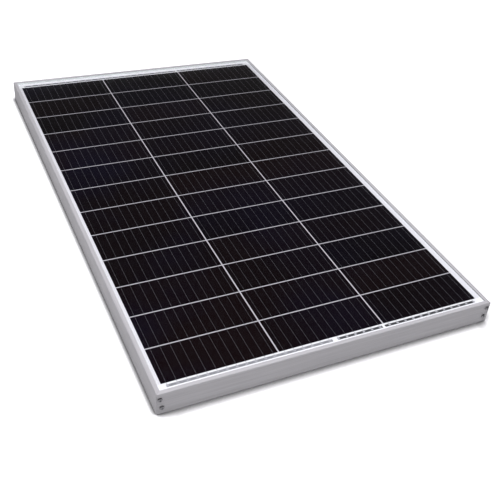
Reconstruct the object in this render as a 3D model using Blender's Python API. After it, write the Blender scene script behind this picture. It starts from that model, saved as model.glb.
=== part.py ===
"""Framed solar panel: glass and cell laminate in a mitred aluminium frame, with a junction box behind.

Frame of reference: X across the panel, Y along it (the end with the three bus ribbons is at -Y),
+Z up through the glass. The origin is the centre of the rectangle that the frame rests on.
"""
import math

import bmesh
import bpy
from mathutils import Matrix, Vector

MM = 0.001

# Panel and frame extrusion
PANEL_WIDTH = 505 * MM
PANEL_LENGTH = 870 * MM
FRAME_HEIGHT = 35 * MM
WALL = 1.5 * MM
LIP_WIDTH = 6.2 * MM
LIP_THICKNESS = 1.3 * MM
TOP_EDGE_ROUND = 1.0 * MM
SHELF_TOP = 28.0 * MM
SHELF_THICKNESS = 1.2 * MM
CHAMBER_DEPTH = 9.6 * MM
CHAMBER_FLOOR = 7.4 * MM
CHAMBER_WALL = 1.2 * MM
FLANGE_WIDTH = 22 * MM
MITRE_GAP = 0.2 * MM

# Corner screws: inset from the side of the frame and height of each screw port
SCREW_PORTS = ((4.6 * MM, 25.2 * MM), (7.0 * MM, 10.6 * MM))
PORT_RADIUS = 1.75 * MM
PORT_WALL = 0.9 * MM
SHANK_RADIUS = 1.45 * MM
CORNER_SHANK_LENGTH = 16 * MM
HEAD_RADIUS = 3.3 * MM
HEAD_HEIGHT = 2.0 * MM

# Holes in the bottom flange of each long member
SLOT_WIDTH = 9 * MM
SLOT_LENGTH = 14 * MM
SLOT_INSET = 15 * MM
SLOT_OFFSET = 235 * MM
GROUND_HOLE_RADIUS = 2.5 * MM

# Laminate, from the back to the front: underside height and thickness of each layer
LAMINATE_INSET = 2.6 * MM
BACKSHEET = (28.75 * MM, 0.25 * MM)
REAR_RIBBON = (29.08 * MM, 0.12 * MM)
REAR_ENCAPSULANT = (29.28 * MM, 0.2 * MM)
CELL_LAYER = (29.55 * MM, 0.2 * MM)
FRONT_ENCAPSULANT = (29.83 * MM, 0.27 * MM)
GLASS = (30.2 * MM, 3.2 * MM)
SEAL_THICKNESS = 0.5 * MM
SEAL_INSET = 1.75 * MM

# Cells and bus ribbons
CELL_WIDTH = 158.75 * MM
CELL_HEIGHT = 62 * MM
CELL_GAP = 2 * MM
COLUMNS = 3
ROWS = 13
BRIDGE_WIDTH = 4 * MM
BRIDGE_PLACES = (0.25, 0.75)
RIBBON_WIDTH = 4.2 * MM
RIBBON_OFFSET = 3.2 * MM
# Start and end of each end ribbon, as a share of the width of all the cells
NEAR_RIBBONS = {"near_ribbon_left": (0.011, 0.495), "near_ribbon_middle": (0.511, 0.659),
                "near_ribbon_right": (0.668, 0.987)}
FAR_RIBBONS = {"far_ribbon_left": (0.011, 0.659), "far_ribbon_right": (0.668, 0.987)}

# Junction box
BOX_Y = -356 * MM
BOX_WIDTH = 110 * MM
BOX_DEPTH = 70 * MM
BOX_WALL = 2 * MM
BOX_CORNER = 4 * MM
PAD_THICKNESS = 0.8 * MM
PAD_TOP = 28.65 * MM
BOX_TOP = 27.75 * MM
BOX_RIM = 9.5 * MM
LID_BOTTOM = 5.5 * MM
LID_PLATE = 2 * MM
LID_SKIRT_TOP = 12.5 * MM
LID_SKIRT = 1.4 * MM
GAP = 0.3 * MM
CABLE_SLIT = (68 * MM, 3 * MM)
SLIT_Y = -27 * MM
TERMINAL_PITCH = 28 * MM
TERMINAL_SIZE = (10 * MM, 12 * MM, 6 * MM)
LEAD_WIDTH = 5 * MM
LEAD_BOTTOM = 21 * MM

# Lid hinge, seen from the box centre
HINGE_Y = -37.6 * MM
HINGE_Z = 11.0 * MM
PEG_RADIUS = 1.3 * MM
PEG_HOLE_RADIUS = 1.65 * MM
EAR_RADIUS = 3.0 * MM
ARM_RADIUS = 2.2 * MM
EAR_SPAN = (30 * MM, 36 * MM)
ARM_THICKNESS = 3 * MM

# Cable glands
GLAND_X = 32 * MM
GLAND_Z = 17.6 * MM
GLAND_THREAD_RADIUS = 5.8 * MM
GLAND_BORE_RADIUS = 3.5 * MM
GLAND_HOLE_RADIUS = 6.1 * MM

ROUND_STEPS = 12
HALF_WIDTH = PANEL_WIDTH / 2
HALF_LENGTH = PANEL_LENGTH / 2
CELLS_WIDTH = COLUMNS * CELL_WIDTH + (COLUMNS - 1) * CELL_GAP
CELLS_LENGTH = ROWS * CELL_HEIGHT + (ROWS - 1) * CELL_GAP


# ---------------------------------------------------------------- scene and materials

def clear_scene():
    for old in list(bpy.data.objects):
        bpy.data.objects.remove(old, do_unlink=True)


def make_material(name, colour, roughness, metallic=0.0, alpha=1.0):
    material = bpy.data.materials.new(name)
    material.use_nodes = True
    shader = material.node_tree.nodes["Principled BSDF"]
    shader.inputs["Base Color"].default_value = (*colour, 1.0)
    shader.inputs["Roughness"].default_value = roughness
    shader.inputs["Metallic"].default_value = metallic
    shader.inputs["Alpha"].default_value = alpha
    return material


def add_object(name, mesh, material, parent=None):
    if not mesh.materials:
        mesh.materials.append(material)
    piece = bpy.data.objects.new(name, mesh)
    piece.parent = parent
    bpy.context.scene.collection.objects.link(piece)
    return piece


def finish_mesh(name, shape, smooth_angle=None):
    """Turn a bmesh into a mesh whose faces all point out."""
    bmesh.ops.recalc_face_normals(shape, faces=shape.faces[:])
    mesh = bpy.data.meshes.new(name)
    shape.to_mesh(mesh)
    shape.free()
    if smooth_angle is not None:
        mesh.shade_smooth()
        mesh.set_sharp_from_angle(angle=math.radians(smooth_angle))
    return mesh


# ---------------------------------------------------------------- outlines

def circle(centre, radius, steps=ROUND_STEPS):
    turns = [2 * math.pi * step / steps for step in range(steps)]
    return [(centre[0] + radius * math.cos(turn), centre[1] + radius * math.sin(turn)) for turn in turns]


def rectangle(low, high):
    return [(low[0], low[1]), (high[0], low[1]), (high[0], high[1]), (low[0], high[1])]


def rounded_rectangle(width, depth, radius, steps=3):
    """Rectangle about the origin with its corners rounded."""
    points = []
    for quarter, (side_x, side_y) in enumerate(((1, 1), (-1, 1), (-1, -1), (1, -1))):
        centre_x = side_x * (width / 2 - radius)
        centre_y = side_y * (depth / 2 - radius)
        for step in range(steps + 1):
            turn = math.pi / 2 * (quarter + step / steps)
            points.append((centre_x + radius * math.cos(turn), centre_y + radius * math.sin(turn)))
    return points


def oblong(centre, width, length, steps=5):
    """Slot outline with round ends, longer along the second axis."""
    radius = width / 2
    reach = length / 2 - radius
    points = []
    for end in (1, -1):
        for step in range(steps + 1):
            turn = math.pi * step / steps + (0 if end > 0 else math.pi)
            points.append((centre[0] + radius * math.cos(turn),
                           centre[1] + end * reach + radius * math.sin(turn)))
    return points


# ---------------------------------------------------------------- solids

def prism(loops, place_start, place_end):
    """Solid between two copies of a flat outline with holes; each end has its own placing function."""
    shape = bmesh.new()
    caps = ([], [])
    for loop in loops:
        rings = [[shape.verts.new(place(point)) for point in loop] for place in (place_start, place_end)]
        count = len(loop)
        for index in range(count):
            following = (index + 1) % count
            shape.faces.new((rings[0][index], rings[0][following], rings[1][following], rings[1][index]))
            for ring, edges in zip(rings, caps):
                edges.append(shape.edges.get((ring[index], ring[following])))
    for edges in caps:
        bmesh.ops.triangle_fill(shape, use_beauty=True, use_dissolve=False, edges=edges)
    return shape


def upright_prism(loops, bottom, top):
    return prism(loops, lambda p: (p[0], p[1], bottom), lambda p: (p[0], p[1], top))


def prism_along_x(loops, start, end):
    """The outline's two axes are Y and Z."""
    return prism(loops, lambda p: (start, p[0], p[1]), lambda p: (end, p[0], p[1]))


def prism_along_y(loops, start, end):
    """The outline's two axes are X and Z."""
    return prism(loops, lambda p: (p[0], start, p[1]), lambda p: (p[0], end, p[1]))


def polygon_reach(turn, flat_radius, sides):
    """Distance from the centre to a regular polygon's edge in the direction of turn."""
    sector = 2 * math.pi / sides
    return flat_radius / math.cos((turn % sector) - sector / 2)


def turned(profile, ring, steps=ROUND_STEPS):
    """Revolve (radius, height, sides) points about Z; sides is 0 where the section is round.

    A ring's profile closes on itself; otherwise the profile runs from one point on the axis to another.
    """
    shape = bmesh.new()
    levels = []
    for radius, height, sides in profile:
        if radius == 0:
            levels.append([shape.verts.new((0, 0, height))] * steps)
            continue
        level = []
        for step in range(steps):
            turn = 2 * math.pi * step / steps
            reach = polygon_reach(turn, radius, sides) if sides else radius
            level.append(shape.verts.new((reach * math.cos(turn), reach * math.sin(turn), height)))
        levels.append(level)
    pairs = list(zip(levels, levels[1:]))
    if ring:
        pairs.append((levels[-1], levels[0]))
    for low, high in pairs:
        for step in range(steps):
            following = (step + 1) % steps
            corners = [low[step], low[following], high[following], high[step]]
            shape.faces.new(list(dict.fromkeys(corners)))
    return shape


def grid_slab(x_lines, y_lines, is_filled, bottom, top):
    """Flat plate made of the filled cells of a grid, as one closed body with real holes."""
    shape = bmesh.new()
    points = {}

    def corner(i, j, level):
        key = (i, j, level)
        if key not in points:
            points[key] = shape.verts.new((x_lines[i], y_lines[j], (bottom, top)[level]))
        return points[key]

    columns = len(x_lines) - 1
    rows = len(y_lines) - 1

    def filled(i, j):
        return 0 <= i < columns and 0 <= j < rows and is_filled(i, j)

    for i in range(columns):
        for j in range(rows):
            if not filled(i, j):
                continue
            for level in (0, 1):
                shape.faces.new([corner(i, j, level), corner(i + 1, j, level),
                                 corner(i + 1, j + 1, level), corner(i, j + 1, level)])
            sides = (((i, j), (i + 1, j), (i, j - 1)), ((i, j + 1), (i + 1, j + 1), (i, j + 1)),
                     ((i, j), (i, j + 1), (i - 1, j)), ((i + 1, j), (i + 1, j + 1), (i + 1, j)))
            for first, second, neighbour in sides:
                if not filled(*neighbour):
                    shape.faces.new([corner(*first, 0), corner(*second, 0),
                                     corner(*second, 1), corner(*first, 1)])
    return shape


def flat_sheet(half_x, half_y, layer, slit=None):
    """Sheet about the origin, with an optional slit given as its centre's Y and its size."""
    x_lines = [-half_x, half_x]
    y_lines = [-half_y, half_y]
    if slit is None:
        return grid_slab(x_lines, y_lines, lambda i, j: True, layer[0], layer[0] + layer[1])
    slit_y, (slit_width, slit_depth) = slit
    x_lines[1:1] = [-slit_width / 2, slit_width / 2]
    y_lines[1:1] = [slit_y - slit_depth / 2, slit_y + slit_depth / 2]
    return grid_slab(x_lines, y_lines, lambda i, j: (i, j) != (1, 1), layer[0], layer[0] + layer[1])


def combine(base, others, operation):
    """Cut or join shapes with an exact Boolean and return the resulting mesh."""
    holder = bpy.data.objects.new("holder", finish_mesh("holder", base))
    tools = []
    for shape in others:
        tool = bpy.data.objects.new("tool", finish_mesh("tool", shape))
        tool.hide_render = True
        tool.display_type = "WIRE"
        tools.append(tool)
        modifier = holder.modifiers.new("combine", "BOOLEAN")
        modifier.operation = operation
        modifier.solver = "EXACT"
        modifier.object = tool
    for item in [holder, *tools]:
        bpy.context.scene.collection.objects.link(item)
    bpy.context.view_layer.update()
    depsgraph = bpy.context.evaluated_depsgraph_get()
    mesh = bpy.data.meshes.new_from_object(holder.evaluated_get(depsgraph))
    for item in [holder, *tools]:
        bpy.data.objects.remove(item, do_unlink=True)
    return mesh


def to_shape(mesh):
    shape = bmesh.new()
    shape.from_mesh(mesh)
    return shape


# ---------------------------------------------------------------- frame

def frame_profile():
    """Section of the extrusion as (distance in from the outer face, height): outline, chamber, ports."""
    steps = 3
    edge = []
    for step in range(steps + 1):
        turn = math.pi / 2 * step / steps
        edge.append((TOP_EDGE_ROUND * (1 - math.cos(turn)),
                     FRAME_HEIGHT - TOP_EDGE_ROUND * (1 - math.sin(turn))))
    lip_underside = FRAME_HEIGHT - LIP_THICKNESS
    outline = [(0, 0), *edge, (LIP_WIDTH, FRAME_HEIGHT), (LIP_WIDTH, lip_underside), (WALL, lip_underside),
               (WALL, SHELF_TOP), (CHAMBER_DEPTH, SHELF_TOP), (CHAMBER_DEPTH, CHAMBER_FLOOR),
               (WALL, CHAMBER_FLOOR), (WALL, WALL), (FLANGE_WIDTH, WALL), (FLANGE_WIDTH, 0)]
    inner_wall = CHAMBER_DEPTH - CHAMBER_WALL
    chamber_top = SHELF_TOP - SHELF_THICKNESS
    chamber_bottom = CHAMBER_FLOOR + CHAMBER_WALL
    (upper_in, upper_height), (lower_in, lower_height) = SCREW_PORTS
    reach = PORT_RADIUS + PORT_WALL
    chamber = [(upper_in + reach, chamber_top), (inner_wall, chamber_top), (inner_wall, lower_height + reach),
               (lower_in - reach, lower_height + reach), (lower_in - reach, chamber_bottom),
               (WALL, chamber_bottom), (WALL, upper_height - reach), (upper_in + reach, upper_height - reach)]
    ports = [circle(port, PORT_RADIUS) for port in SCREW_PORTS]
    return [outline, chamber, *ports]


def long_member_mesh():
    """Member on the +X side, with mounting slots and an earthing hole in its bottom flange."""
    def place(end):
        return lambda p: (HALF_WIDTH - p[0], end * (HALF_LENGTH - p[0] - MITRE_GAP), p[1])

    centre_x = HALF_WIDTH - SLOT_INSET
    holes = [oblong((centre_x, side * SLOT_OFFSET), SLOT_WIDTH, SLOT_LENGTH) for side in (-1, 1)]
    holes.append(circle((centre_x, 0), GROUND_HOLE_RADIUS))
    cutters = [upright_prism([hole], -WALL, 2 * WALL) for hole in holes]
    return combine(prism(frame_profile(), place(-1), place(1)), cutters, "DIFFERENCE")


def end_member_mesh():
    """Member on the +Y side, drilled for the corner screws."""
    def place(end):
        return lambda p: (end * (HALF_WIDTH - p[0] - MITRE_GAP), HALF_LENGTH - p[0], p[1])

    cutters = []
    for inset, height in SCREW_PORTS:
        for side in (-1, 1):
            hole = circle((side * (HALF_WIDTH - inset), height), PORT_RADIUS)
            cutters.append(prism_along_y([hole], HALF_LENGTH - CHAMBER_DEPTH - WALL, HALF_LENGTH + WALL))
    return combine(prism(frame_profile(), place(-1), place(1)), cutters, "DIFFERENCE")


def screw_mesh(name, shank_length, head_radius):
    """Pan-head screw with a cross recess, head up, its seat at the origin."""
    rim = 0.5 * MM
    recess_depth = 1.2 * MM
    recess_reach = 0.55 * head_radius
    recess_half = 0.45 * MM
    profile = [(0, HEAD_HEIGHT, 0), (0.62 * head_radius, 0.93 * HEAD_HEIGHT, 0),
               (0.92 * head_radius, 0.62 * HEAD_HEIGHT, 0), (head_radius, rim, 0), (head_radius, 0, 0),
               (SHANK_RADIUS, 0, 0), (SHANK_RADIUS, 2 * MM - shank_length, 0), (0, -shank_length, 0)]
    cross = []
    for quarter in range(4):
        turn = Matrix.Rotation(math.pi / 2 * quarter, 2)
        for point in ((recess_half, -recess_half), (recess_reach, -recess_half), (recess_reach, recess_half)):
            cross.append(tuple(turn @ Vector(point)))
    cutter = upright_prism([cross], HEAD_HEIGHT - recess_depth, 2 * HEAD_HEIGHT)
    mesh = combine(turned(profile, ring=False), [cutter], "DIFFERENCE")
    mesh.name = name
    mesh.shade_smooth()
    mesh.set_sharp_from_angle(angle=math.radians(35))
    return mesh


def build_frame(metal, steel, rubber):
    half_turn = math.pi
    long_mesh = long_member_mesh()
    add_object("frame_right", long_mesh, metal)
    add_object("frame_left", long_mesh, metal).rotation_euler.z = half_turn
    end_mesh = end_member_mesh()
    add_object("frame_far", end_mesh, metal)
    add_object("frame_near", end_mesh, metal).rotation_euler.z = half_turn

    screw = screw_mesh("corner_screw", CORNER_SHANK_LENGTH, HEAD_RADIUS)
    seat = 0.1 * MM
    for end_name, end in (("near", -1), ("far", 1)):
        for side_name, side in (("left", -1), ("right", 1)):
            for level_name, (inset, height) in zip(("upper", "lower"), SCREW_PORTS):
                piece = add_object(f"screw_{end_name}_{side_name}_{level_name}", screw, steel)
                piece.location = (side * (HALF_WIDTH - inset), end * (HALF_LENGTH + seat), height)
                piece.rotation_euler.x = -end * math.pi / 2

    build_seals(rubber)


def build_seals(rubber):
    """Sealant strip in each member's slot: an upright leg and a foot under the laminate."""
    bottom = SHELF_TOP + 0.15 * MM
    top = GLASS[0] + GLASS[1]
    foot_end = CHAMBER_DEPTH - 0.6 * MM
    inner = SEAL_INSET + SEAL_THICKNESS
    profile = [[(SEAL_INSET, bottom), (foot_end, bottom), (foot_end, bottom + SEAL_THICKNESS),
                (inner, bottom + SEAL_THICKNESS), (inner, top), (SEAL_INSET, top)]]

    def along_y(end):
        return lambda p: (HALF_WIDTH - p[0], end * (HALF_LENGTH - p[0] - MITRE_GAP), p[1])

    def along_x(end):
        return lambda p: (end * (HALF_WIDTH - p[0] - MITRE_GAP), HALF_LENGTH - p[0], p[1])

    long_mesh = finish_mesh("long_seal", prism(profile, along_y(-1), along_y(1)))
    end_mesh = finish_mesh("end_seal", prism(profile, along_x(-1), along_x(1)))
    for name, mesh, turn in (("seal_right", long_mesh, 0), ("seal_left", long_mesh, math.pi),
                             ("seal_far", end_mesh, 0), ("seal_near", end_mesh, math.pi)):
        add_object(name, mesh, rubber).rotation_euler.z = turn


# ---------------------------------------------------------------- laminate

def build_sheets(materials):
    half_x = HALF_WIDTH - LAMINATE_INSET
    half_y = HALF_LENGTH - LAMINATE_INSET
    slit = (BOX_Y + SLIT_Y, CABLE_SLIT)
    for name, layer, hole, material in (("backsheet", BACKSHEET, slit, "backsheet"),
                                        ("rear_encapsulant", REAR_ENCAPSULANT, None, "encapsulant"),
                                        ("front_encapsulant", FRONT_ENCAPSULANT, None, "encapsulant"),
                                        ("cover_glass", GLASS, None, "glass")):
        mesh = finish_mesh(name, flat_sheet(half_x, half_y, layer, hole))
        add_object(name, mesh, materials[material])


def cell_string_mesh():
    """One column of cells about X = 0, tied together by interconnect wires across each gap."""
    x_lines = [-CELL_WIDTH / 2]
    for place in BRIDGE_PLACES:
        centre = (place - 0.5) * CELL_WIDTH
        x_lines += [centre - BRIDGE_WIDTH / 2, centre + BRIDGE_WIDTH / 2]
    x_lines.append(CELL_WIDTH / 2)
    y_lines = []
    for row in range(ROWS):
        start = -CELLS_LENGTH / 2 + row * (CELL_HEIGHT + CELL_GAP)
        y_lines += [start, start + CELL_HEIGHT]

    def is_filled(i, j):
        is_cell_row = j % 2 == 0
        is_bridge_column = i % 2 == 1
        return is_cell_row or is_bridge_column

    bottom, thickness = CELL_LAYER
    return finish_mesh("cell_string", grid_slab(x_lines, y_lines, is_filled, bottom, bottom + thickness))


def build_cells(materials):
    string = cell_string_mesh()
    for name, place in (("cell_string_left", -1), ("cell_string_centre", 0), ("cell_string_right", 1)):
        piece = add_object(name, string, materials["cell"])
        piece.location.x = place * (CELL_WIDTH + CELL_GAP)
    bottom, thickness = CELL_LAYER
    inner_edge = CELLS_LENGTH / 2 + RIBBON_OFFSET
    for end, ribbons in ((-1, NEAR_RIBBONS), (1, FAR_RIBBONS)):
        edges = sorted((end * inner_edge, end * (inner_edge + RIBBON_WIDTH)))
        for name, (start, stop) in ribbons.items():
            ends = [(share - 0.5) * CELLS_WIDTH for share in (start, stop)]
            shape = grid_slab(ends, edges, lambda i, j: True, bottom, bottom + thickness)
            add_object(name, finish_mesh(name, shape), materials["ribbon"])


def rear_ribbon(name, plan_points, material):
    """Thin strip behind the cells that follows plan points and then turns down into the box.

    Its width always lies along X, and its last plan point is where it turns down.
    """
    bottom, thickness = REAR_RIBBON
    middle = bottom + thickness / 2
    half = thickness / 2
    heading = 1 if plan_points[-1][1] > plan_points[-2][1] else -1
    sections = [((x, y, middle), (0, half)) for x, y in plan_points[:-1]]
    last_x, last_y = plan_points[-1]
    sections.append(((last_x, last_y, middle), (heading * half, half)))
    sections.append(((last_x, last_y, LEAD_BOTTOM), (heading * half, 0)))
    shape = bmesh.new()
    rings = []
    for (x, y, z), (offset_y, offset_z) in sections:
        ring = []
        for side, face in ((-1, -1), (1, -1), (1, 1), (-1, 1)):
            place = (x + side * LEAD_WIDTH / 2, y + face * offset_y, z + face * offset_z)
            ring.append(shape.verts.new(place))
        rings.append(ring)
    for first, second in zip(rings, rings[1:]):
        for index in range(4):
            following = (index + 1) % 4
            shape.faces.new((first[index], first[following], second[following], second[index]))
    shape.faces.new(rings[0])
    shape.faces.new(rings[-1])
    add_object(name, finish_mesh(name, shape), material)


def build_rear_ribbons(materials):
    drop_y = BOX_Y + SLIT_Y
    ribbon_y = CELLS_LENGTH / 2 + RIBBON_OFFSET + RIBBON_WIDTH
    turn_y = drop_y - 20 * MM
    return_x = 100 * MM
    middle_x = 9 * MM
    copper = materials["ribbon"]
    rear_ribbon("lead_ribbon_left", [(-TERMINAL_PITCH, -ribbon_y), (-TERMINAL_PITCH, drop_y)], copper)
    rear_ribbon("lead_ribbon_middle", [(middle_x, -ribbon_y), (middle_x, turn_y), (0, drop_y - 8 * MM),
                                       (0, drop_y)], copper)
    rear_ribbon("return_ribbon", [(return_x, ribbon_y), (return_x, drop_y + 60 * MM),
                                  (TERMINAL_PITCH, drop_y + 8 * MM), (TERMINAL_PITCH, drop_y)], copper)


# ---------------------------------------------------------------- junction box

def box_base_mesh():
    """Tray that opens downwards, with a slit in its floor, gland holes and two hinge ears."""
    floor = BOX_TOP - BOX_WALL
    shell = upright_prism([rounded_rectangle(BOX_WIDTH, BOX_DEPTH, BOX_CORNER)], BOX_RIM, BOX_TOP)
    ears = []
    for side in (-1, 1):
        ear = [(HINGE_Y + EAR_RADIUS * math.cos(turn), HINGE_Z + EAR_RADIUS * math.sin(turn))
               for turn in (math.pi * (0.5 + step / 6) for step in range(7))]
        inside = -BOX_DEPTH / 2 + BOX_WALL / 2
        ear += [(inside, HINGE_Z), (inside, HINGE_Z + EAR_RADIUS + WALL)]
        ears.append(prism_along_x([ear], side * EAR_SPAN[0], side * EAR_SPAN[1]))
    body = to_shape(combine(shell, ears, "UNION"))

    inner = rounded_rectangle(BOX_WIDTH - 2 * BOX_WALL, BOX_DEPTH - 2 * BOX_WALL, BOX_CORNER - BOX_WALL)
    cutters = [upright_prism([inner], BOX_RIM - WALL, floor)]
    slit_half_x, slit_half_y = (size / 2 for size in CABLE_SLIT)
    slit = rectangle((-slit_half_x, SLIT_Y - slit_half_y), (slit_half_x, SLIT_Y + slit_half_y))
    cutters.append(upright_prism([slit], floor - WALL, BOX_TOP + WALL))
    for side in (-1, 1):
        hole = circle((side * GLAND_X, GLAND_Z), GLAND_HOLE_RADIUS)
        cutters.append(prism_along_y([hole], BOX_DEPTH / 2 - 2 * BOX_WALL, BOX_DEPTH / 2 + BOX_WALL))
        peg_hole = circle((HINGE_Y, HINGE_Z), PEG_HOLE_RADIUS)
        ends = [side * (EAR_SPAN[0] - WALL), side * (EAR_SPAN[1] + WALL)]
        cutters.append(prism_along_x([peg_hole], *ends))
    return combine(body, cutters, "DIFFERENCE")


def lid_mesh():
    """Lid plate with skirts on three sides and two arms whose pegs sit in the base's ears.

    Drawn in the box's place and then moved so that its origin is on the hinge axis.
    """
    skirt_outer = BOX_WIDTH / 2 + GAP + LID_SKIRT
    free_edge = BOX_DEPTH / 2 + GAP + LID_SKIRT
    plate_top = LID_BOTTOM + LID_PLATE
    outline = rectangle((-skirt_outer, HINGE_Y), (skirt_outer, free_edge))
    plate = upright_prism([outline], LID_BOTTOM, plate_top)
    bite = LID_PLATE / 2
    joined = []
    for side in (-1, 1):
        skirt = [side * (skirt_outer - LID_SKIRT), side * skirt_outer]
        side_wall = rectangle((min(skirt), -BOX_DEPTH / 2 + BOX_CORNER), (max(skirt), free_edge - LID_SKIRT))
        joined.append(upright_prism([side_wall], plate_top - bite, LID_SKIRT_TOP))
        arm_start = side * (EAR_SPAN[1] + GAP)
        arm_end = arm_start + side * ARM_THICKNESS
        arm = [(HINGE_Y + ARM_RADIUS * math.cos(turn), HINGE_Z + ARM_RADIUS * math.sin(turn))
               for turn in (math.pi * step / 6 for step in range(7))]
        arm += [(HINGE_Y - ARM_RADIUS, plate_top - bite), (HINGE_Y + ARM_RADIUS, plate_top - bite)]
        joined.append(prism_along_x([arm], arm_start, arm_end))
        root = [(HINGE_Y - ARM_RADIUS, LID_BOTTOM), (HINGE_Y + ARM_RADIUS, LID_BOTTOM),
                (HINGE_Y + ARM_RADIUS, plate_top), (HINGE_Y - ARM_RADIUS, plate_top)]
        joined.append(prism_along_x([root], arm_start, arm_end))
        peg = circle((HINGE_Y, HINGE_Z), PEG_RADIUS)
        joined.append(prism_along_x([peg], side * (EAR_SPAN[0] + WALL), arm_start + side * WALL))
    latch_half = 13 * MM
    latch = rectangle((-latch_half, free_edge - LID_SKIRT), (latch_half, free_edge))
    joined.append(upright_prism([latch], plate_top - bite, LID_SKIRT_TOP))
    tab_half = latch_half / 2
    finger_tab = rectangle((-tab_half, free_edge - LID_SKIRT), (tab_half, free_edge + 2 * LID_SKIRT))
    joined.append(upright_prism([finger_tab], LID_BOTTOM, plate_top - bite / 2))
    mesh = combine(plate, joined, "UNION")
    mesh.transform(Matrix.Translation((0, -HINGE_Y, -HINGE_Z)))
    return mesh


def gasket_mesh():
    """Flat ring between lid and rim, with its origin on the hinge axis."""
    inset = 0.2 * MM
    bottom = LID_BOTTOM + LID_PLATE + GAP
    width = BOX_WIDTH - 2 * inset
    depth = BOX_DEPTH - 2 * inset
    band = 2 * BOX_WALL
    loops = [rounded_rectangle(width, depth, BOX_CORNER),
             rounded_rectangle(width - band, depth - band, BOX_CORNER - BOX_WALL)]
    mesh = finish_mesh("lid_gasket", upright_prism(loops, bottom, BOX_RIM - GAP))
    mesh.transform(Matrix.Translation((0, -HINGE_Y, -HINGE_Z)))
    return mesh


def terminal_mesh():
    """Clamp block with a threaded hole up through it."""
    half_x = TERMINAL_SIZE[0] / 2
    half_y = TERMINAL_SIZE[1] / 2
    loops = [rectangle((-half_x, -half_y), (half_x, half_y)), circle((0, 0), PORT_RADIUS)]
    return finish_mesh("terminal", upright_prism(loops, -TERMINAL_SIZE[2], 0))


def diode_mesh(length):
    """Axial diode: a round body with a lead at each end, along Z."""
    lead = 0.5 * MM
    body = 2.6 * MM
    body_half = 4.5 * MM
    half = length / 2
    profile = [(0, half, 0), (lead, half, 0), (lead, body_half, 0), (body, body_half, 0),
               (body, -body_half, 0), (lead, -body_half, 0), (lead, -half, 0), (0, -half, 0)]
    return finish_mesh("bypass_diode", turned(profile, ring=False), smooth_angle=35)


def build_box_inside(box, materials):
    top = BOX_TOP - BOX_WALL - GAP
    block_y = SLIT_Y + 0.4 * MM + TERMINAL_SIZE[1] / 2
    block = terminal_mesh()
    screw = screw_mesh("terminal_screw", 5 * MM, 3 * MM)
    for name, place in (("left", -1), ("middle", 0), ("right", 1)):
        x = place * TERMINAL_PITCH
        piece = add_object(f"terminal_{name}", block, materials["brass"], box)
        piece.location = (x, block_y, top)
        piece = add_object(f"terminal_screw_{name}", screw, materials["steel"], box)
        piece.location = (x, block_y, top - TERMINAL_SIZE[2] - 0.1 * MM)
        piece.rotation_euler.x = math.pi
    diode = diode_mesh(TERMINAL_PITCH - TERMINAL_SIZE[0] - 2 * GAP)
    for name, side in (("left", -1), ("right", 1)):
        piece = add_object(f"bypass_diode_{name}", diode, materials["diode"], box)
        piece.location = (side * TERMINAL_PITCH / 2, block_y, top - TERMINAL_SIZE[2] / 2)
        piece.rotation_euler.y = math.pi / 2


def build_glands(box, materials):
    """Four turned pieces each; heights run outwards from the outer face of the box wall."""
    thread = GLAND_THREAD_RADIUS
    bore = GLAND_BORE_RADIUS
    seat_radius = 4.9 * MM
    flange = (GAP, 4.3 * MM)
    seat_start = 6 * MM
    thread_end = 12 * MM
    hexagon = 7 * MM
    body = [(bore, -8 * MM, 0), (thread, -8 * MM, 0), (thread, flange[0], 0), (hexagon, flange[0], 6),
            (hexagon, flange[1], 6), (thread, flange[1], 0), (thread, thread_end, 0),
            (seat_radius, thread_end, 0), (seat_radius, seat_start, 0), (bore, seat_start, 0)]
    lock_start = -BOX_WALL - GAP
    lock_end = lock_start - 4 * MM
    lock_nut = [(thread + GAP, lock_start, 0), (hexagon, lock_start, 6), (hexagon, lock_end, 6),
                (thread + GAP, lock_end, 0)]
    seal = [(bore - GAP, seat_start + GAP, 0), (seat_radius - GAP, seat_start + GAP, 0),
            (seat_radius - GAP, thread_end + GAP, 0), (bore - GAP, thread_end + GAP, 0)]
    nut_start = flange[1] + GAP
    nut_shoulder = 11 * MM
    nut_step = thread_end + 2 * GAP
    nut_end = 15 * MM
    dome_nut = [(thread + GAP, nut_start, 0), (hexagon, nut_start, 6), (hexagon, nut_shoulder, 6),
                (5.4 * MM, nut_end, 0), (bore - GAP, nut_end, 0), (bore - GAP, nut_step, 0),
                (thread + GAP, nut_step, 0)]
    for name, profile, material in (("gland_body", body, "black"), ("gland_lock_nut", lock_nut, "black"),
                                    ("gland_seal", seal, "rubber"), ("gland_nut", dome_nut, "black")):
        mesh = finish_mesh(name, turned(profile, ring=True), smooth_angle=35)
        for side_name, side in (("left", -1), ("right", 1)):
            piece = add_object(f"{name}_{side_name}", mesh, materials[material], box)
            piece.location = (side * GLAND_X, BOX_DEPTH / 2, GLAND_Z)
            piece.rotation_euler.x = -math.pi / 2


def build_junction_box(materials):
    box = bpy.data.objects.new("junction_box_centre", None)
    box.location.y = BOX_Y
    bpy.context.scene.collection.objects.link(box)

    pad_layer = (PAD_TOP - PAD_THICKNESS, PAD_THICKNESS)
    pad = flat_sheet(BOX_WIDTH / 2 - BOX_WALL, BOX_DEPTH / 2 - BOX_WALL, pad_layer, (SLIT_Y, CABLE_SLIT))
    add_object("box_adhesive_pad", finish_mesh("box_adhesive_pad", pad), materials["rubber"], box)
    add_object("box_base", box_base_mesh(), materials["black"], box)
    build_box_inside(box, materials)
    build_glands(box, materials)

    lid = add_object("box_lid", lid_mesh(), materials["black"], box)
    lid.location = (0, HINGE_Y, HINGE_Z)
    add_object("lid_gasket", gasket_mesh(), materials["rubber"], lid)


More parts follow.
